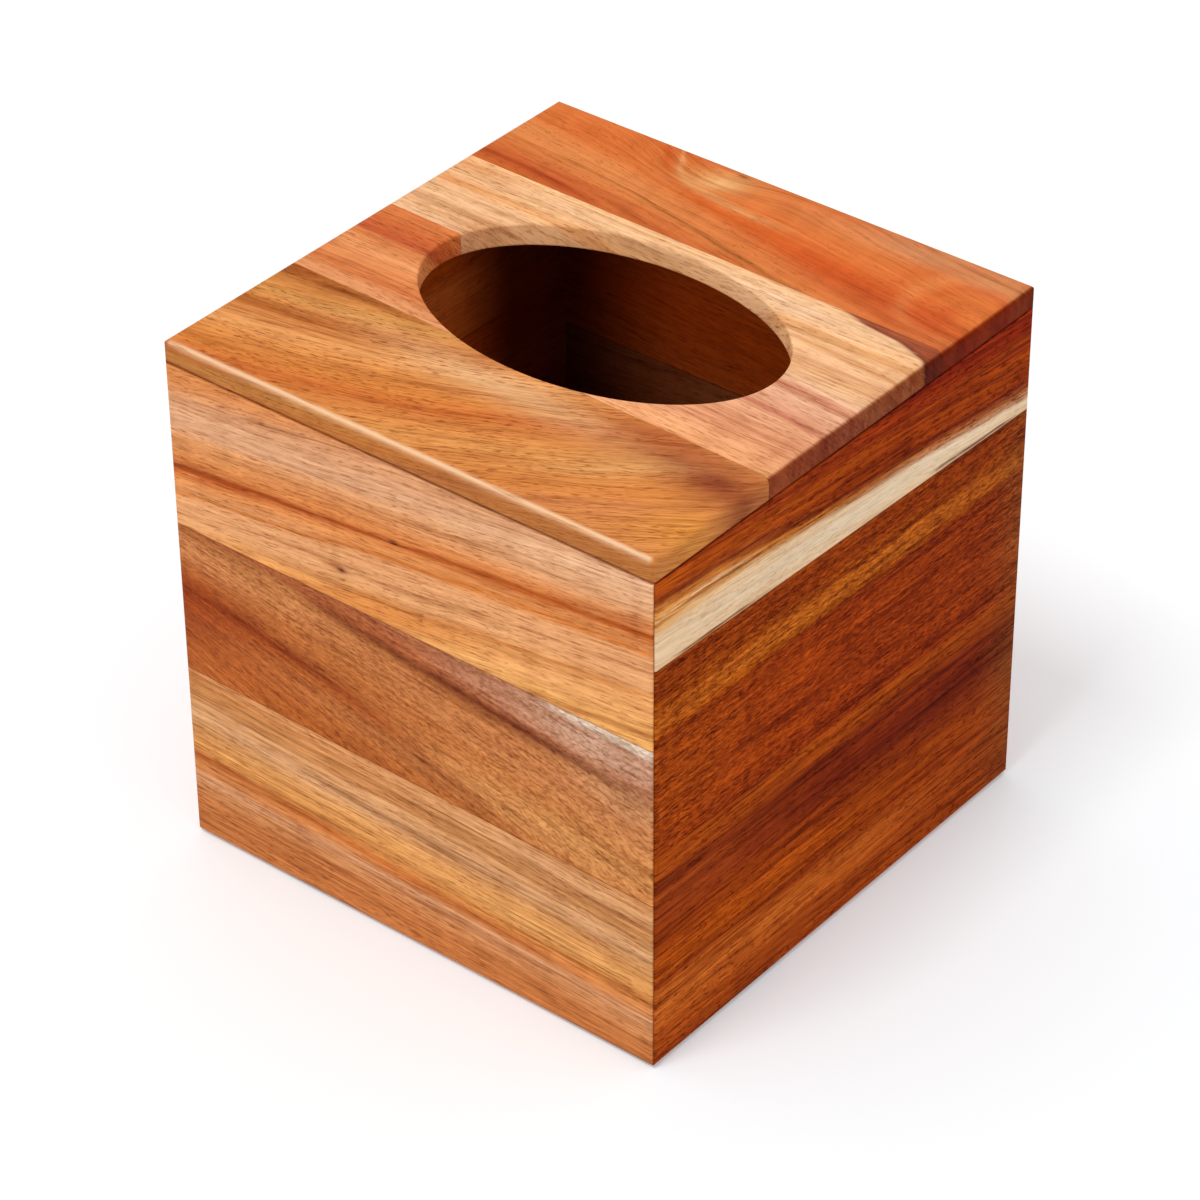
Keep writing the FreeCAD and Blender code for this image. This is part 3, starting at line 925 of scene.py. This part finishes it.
def lid_back_figure(wood):
    """A pale swirl beside a knot at the back edge, red amber to the right and nested arcs at that end."""
    wood.patch("e28c50", (32, 21.0), (28, 3.6), 0.5, 0.20)
    wood.patch("dd8a54", (90, 7.0), (22, 4.0), 0.55, 0.05)
    wood.patch("c8855a", (112, 4.0), (18, 4.0), 0.85)
    wood.patch("d25a28", (98, 23.5), (38, 6.5), 0.9, 0.12)
    wood.patch("cf6430", (20, 8.0), (20, 6.0), 0.5)
    outer_swirl = [(34, 0.0), (38, 6.0), (45, 13.0), (56, 17.0), (75, 19.0)]
    inner_swirl = [(39, 0.0), (43, 7.0), (49, 12.0), (58, 14.6), (75, 15.5)]
    wood.streak("d4622a", outer_swirl, 1.6, 0.8, [(28, 36), (95, 70)])
    wood.streak("e8a266", inner_swirl, 1.3, 0.8, [(34, 40), (90, 66)])
    wood.patch("e6a062", (55, 8.4), (9.5, 4.8), 0.9, -0.25)
    wood.patch("eeb478", (57, 8.6), (5.0, 2.4), 0.7, -0.25)
    wood.patch("7a4524", (58.5, 3.8), (1.7, 0.7), 0.8)
    wood.patch("d69666", (134, 4.0), (16, 5.0), 0.85)
    wood.patch("c05228", (120, 29.5), (28, 6.0), 0.75, 0.10)
    wood.ring("c9562a", (134, 20.0), (9, 11), 0.22, 0.40)
    wood.ring("e08a52", (134, 20.0), (14, 15), 0.16, 0.35)
    wood.ring("c65a30", (134, 20.0), (19, 19), 0.14, 0.30)
    wood.patch("c7532b", (131, 24.0), (4.0, 5.5), 0.7)
    wood.streak("a84222", [(0, 30.6), (15, 31.8), (35, 33.6)], 1.4, 0.9, [(46, 24)])
    wood.streak("bd5529", [(0, 27.4), (30, 29.8)], 0.9, 0.7, [(50, 25)])
    wood.streak("a8622f", [(18, 21.5), (40, 25.0), (65, 30.0), (92, 35.0)], 0.6, 0.8, [(14, 24)])
    wood.streak("c05a30", [(95, 29.5), (118, 33.0), (140, 36.0)], 1.6, 0.6, [(90, 110)])


def lid_middle_figure(wood):
    """Pale straight wood, warmer at the left, with a dark red corner at the right end."""
    wood.patch("dd9259", (4, 38.4), (18, 2.8), 0.75)
    wood.patch("d78e57", (6, 46.6), (16, 1.8), 0.75)
    wood.patch("cb986c", (12, 56.4), (18, 1.9), 0.6)
    wood.patch("c88658", (30, 61.0), (12, 5.0), 0.7)
    wood.patch("f4c8a0", (100, 42.0), (24, 4.0), 0.7)
    wood.streak("d8975f", [(100, 50.5), (140, 53.5)], 0.9, 0.8, [(100, 116)])
    wood.streak("dca06c", [(95, 46.2), (140, 48.5)], 0.6, 0.7, [(95, 108)])
    corner = [(112, 36.0), (118, 37.4), (124, 38.4), (129, 39.2), (134, 40.6), (140, 43.0)]
    wood.band("a6573a", [(0, 30.0), (140, 30.0)], corner, 0.6)
    wood.streak("7c3c2c", corner, 0.7, 0.9, [(112, 119)])


def lid_right_figure(wood):
    """Peach wood with two soft purple-red streaks."""
    wood.streak("c97a5c", [(100, 68.4), (120, 69.6), (140, 71.0)], 1.0, 0.8)
    wood.streak("c4745a", [(100, 78.0), (120, 79.0), (140, 80.5)], 0.9, 0.8)
    wood.patch("f0a671", (112, 98.5), (22, 3.5), 0.7)


def lid_front_figure(wood):
    """Dark streaks along the joint at the left and a purple-brown corner at the right."""
    wood.streak("9a5024", [(0, 100.6), (25, 99.8), (50, 98.8)], 1.2, 0.85, [(58, 20)])
    wood.streak("a8602e", [(0, 116.5), (20, 114.2), (40, 110.0)], 1.0, 0.6, [(48, 20)])
    wood.patch("e4b484", (74, 108.5), (34, 5.6), 0.7, 0.0)
    wood.patch("e09444", (138, 127.0), (10, 10.0), 0.7)
    wood.patch("9a4e30", (128, 109.0), (21, 7.0), 0.92, 0.10)
    wood.patch("8c432c", (133, 109.0), (9, 3.8), 0.7, 0.10)
    wood.patch("dca468", (112, 118.0), (14, 4.0), 0.5, -0.70)
    wood.patch("b4653c", (124, 103.0), (26, 3.4), 0.8, 0.02)


lid_back_wood = board_wood(
    "lid_back_wood", lid_face, LID_LIGHT, 14,
    lambda u, v: v - (u - HALF) * 0.14 - u.bell(52, 18) * v.bell(2, 12) * 9,
    [(-14, "d4703a"), (-4, "cf6934"), (4, "d8743a"), (12, "df7c40"), (18, "dc7a3e"), (24, "e08a4e"),
     (30, "da8046"), (36, "cf6e3a"), (44, "c4622f")],
    lid_joints,
    {**LID_LOOK, "wander": 6.0, "lines": 0.6, "strands": 0.35, "fibres": 0.4,
     "pore_length": 2.2, "pore_pitch": 0.6, "pore_depth": 0.4, "pore_start": 0.57},
    lid_back_figure, lid_edges(1.0),
)
lid_middle_wood = board_wood(
    "lid_middle_wood", lid_face, LID_LIGHT, 15, lambda u, v: v - (u - HALF) * 0.015,
    [(32, "efb07a"), (36, "f4bc88"), (40, "f8c594"), (44, "f2bb88"), (47, "e6a66e"), (50, "f2bd8c"),
     (54, "f2bc8c"), (57, "e5ab7c"), (60, "efb684"), (64, "efbb8e")],
    lid_joints, {**LID_LOOK, "wander": 3.0, "lines": 0.7}, lid_middle_figure, usual_lid_edges,
)
lid_left_wood = board_wood(
    "lid_left_wood", lid_face, LID_LIGHT, 16, lambda u, v: v,
    [(62, "d67742"), (67, "d87c46"), (71, "d06c3c"), (75, "bf5c36"), (78, "dc8650"), (82, "ea9a63"),
     (87, "de8a54"), (92, "d57b47"), (96, "de9260"), (100, "e09a68")],
    lid_joints, LID_LOOK, edges=usual_lid_edges,
)
lid_right_wood = board_wood(
    "lid_right_wood", lid_face, LID_LIGHT, 17, lambda u, v: v - (u - 120) * 0.05,
    [(62, "ecbc98"), (66, "eab48e"), (69, "e2a480"), (73, "e6ac88"), (77, "de9e7a"), (81, "e4a27a"),
     (88, "e29a70"), (94, "eba476"), (98, "f0aa78"), (103, "eea876")],
    lid_joints, {**LID_LOOK, "wander": 3.0}, lid_right_figure, usual_lid_edges,
)
lid_front_wood = board_wood(
    "lid_front_wood", lid_face, LID_LIGHT, 18, lambda u, v: v + u * 0.10 + u * u * 0.0022,
    [(98, "a65727"), (102, "b87038"), (106, "d08646"), (110, "d69552"), (113, "cd8346"), (117, "bd6c34"),
     (120, "d88c4e"), (125, "e39b5c"), (130, "dd8e4c"), (135, "d58240"), (141, "cd7238"), (146, "d58446"),
     (153, "d99150"), (160, "d88a4a"), (167, "d78646"), (174, "d0824c"), (182, "d5884c"), (197, "d2864c")],
    lid_joints,
    {**LID_LOOK, "tilt": 3.0, "wander": 3.0, "bite": 0.19, "lines": 0.7, "strands": 0.4, "fibres": 0.8,
     "pore_length": 2.6, "pore_pitch": 0.5, "pore_depth": 0.8, "pore_start": 0.54},
    lid_front_figure, lid_edges(0.05),
)
lid_board("lid_stave_front", (-PAST_EDGE, 0.0), LID_FRONT_LINE, lid_front_wood)
lid_board("lid_stave_left", LID_FRONT_LINE, LID_MIDDLE_LINE, lid_left_wood, right=0.0)
lid_board("lid_stave_right", LID_FRONT_LINE, LID_MIDDLE_LINE, lid_right_wood, left=0.0)
lid_board("lid_stave_middle", LID_MIDDLE_LINE, LID_BACK_LINE, lid_middle_wood)
lid_board("lid_stave_back", LID_BACK_LINE, (PAST_EDGE, 0.0), lid_back_wood)

# Studio
# A wide matt white table and an even white room, with one soft lamp high in front and a little to the left.
# Both show white to the camera and in reflections, and the table keeps the shadow of the object.
FLOOR_REACH = 4.0
FLOOR_DROP = 0.0001
FLOOR_COLOUR = (0.84, 0.86, 0.87, 1.0)
FLOOR_ROUGHNESS = 0.9
SHOWN_LIFT = (0.17, 0.18, 0.19)
ROOM_COLOUR = (1.0, 1.0, 1.0, 1.0)
ROOM_LEVEL = 0.75
LAMP_DISTANCE = 2.5


def seen_by_camera(tree):
    """1 on rays from the camera and on those that gloss or glass sends on, and 0 on rays that carry light."""
    path = tree.nodes.new("ShaderNodeLightPath")
    kinds = ("Is Camera Ray", "Is Glossy Ray", "Is Transmission Ray")
    camera_ray, glossy_ray, transmission_ray = [Wire(path.outputs[kind]) for kind in kinds]
    return camera_ray + glossy_ray + transmission_ray


floor_mesh = bpy.data.meshes.new("table_top")
corners = [(-1, -1), (1, -1), (1, 1), (-1, 1)]
floor_points = [(x * FLOOR_REACH, y * FLOOR_REACH, -FLOOR_DROP) for x, y in corners]
floor_mesh.from_pydata(floor_points, [], [(0, 1, 2, 3)])
floor = bpy.data.objects.new("table_top", floor_mesh)
bpy.context.scene.collection.objects.link(floor)
floor_paint = bpy.data.materials.new("white_table")
floor_paint.use_nodes = True
paint = floor_paint.node_tree.nodes["Principled BSDF"]
paint.inputs["Base Color"].default_value = FLOOR_COLOUR
paint.inputs["Roughness"].default_value = FLOOR_ROUGHNESS
paint.inputs["Specular IOR Level"].default_value = 0.0
paint.inputs["Emission Strength"].default_value = 1.0
seen = seen_by_camera(floor_paint.node_tree)
shown = seen.together(seen, seen)
lift = shown.add("ShaderNodeVectorMath", {"operation": "MULTIPLY"}, {0: shown, 1: SHOWN_LIFT})
floor_paint.node_tree.links.new(lift.socket, paint.inputs["Emission Color"])
floor_mesh.materials.append(floor_paint)

room = bpy.data.worlds.new("white_room")
room.use_nodes = True
bpy.context.scene.world = room
room_light = room.node_tree.nodes["Background"]
room_light.inputs["Color"].default_value = ROOM_COLOUR
room_strength = seen_by_camera(room.node_tree) * (1.0 - ROOM_LEVEL) + ROOM_LEVEL
room.node_tree.links.new(room_strength.socket, room_light.inputs["Strength"])


def from_angles(azimuth, elevation):
    """Unit vector from the object towards a place round it; azimuth 0 is straight in front."""
    level = math.cos(elevation)
    return Vector((math.sin(azimuth) * level, -math.cos(azimuth) * level, math.sin(elevation)))


def soft_lamp(name, azimuth, elevation, size, power):
    """A square lamp that faces the object."""
    lamp = bpy.data.lights.new(name, "AREA")
    lamp.size = size
    lamp.energy = power
    stand = bpy.data.objects.new(name, lamp)
    towards_lamp = from_angles(math.radians(azimuth), math.radians(elevation))
    stand.location = towards_lamp * LAMP_DISTANCE
    stand.rotation_mode = "QUATERNION"
    stand.rotation_quaternion = (-towards_lamp).to_track_quat("-Z", "Y")
    bpy.context.scene.collection.objects.link(stand)


soft_lamp("key_lamp", azimuth=-5, elevation=68, size=0.7, power=21.0)

# Camera
# A long lens about a metre away looks down on the corner between the front and right walls. It is rolled by
# less than half a degree.
CAMERA_AZIMUTH = math.radians(39.05)
CAMERA_ELEVATION = math.radians(35.46)
CAMERA_DISTANCE = 1.0542
CAMERA_ROLL = math.radians(-0.40)
CAMERA_AIM = Vector((0.0, -0.0017, 0.0610))
LENS = 134.43
SENSOR_WIDTH = 36.0
camera_data = bpy.data.cameras.new("camera")
camera_data.lens = LENS
camera_data.sensor_width = SENSOR_WIDTH
camera = bpy.data.objects.new("camera", camera_data)
towards_camera = from_angles(CAMERA_AZIMUTH, CAMERA_ELEVATION)
camera.location = CAMERA_AIM + towards_camera * CAMERA_DISTANCE
camera.rotation_mode = "QUATERNION"
roll = Quaternion((0.0, 0.0, 1.0), CAMERA_ROLL)
camera.rotation_quaternion = (-towards_camera).to_track_quat("-Z", "Y") @ roll
bpy.context.scene.collection.objects.link(camera)
bpy.context.scene.camera = camera

bpy.context.scene.view_settings.view_transform = "Standard"
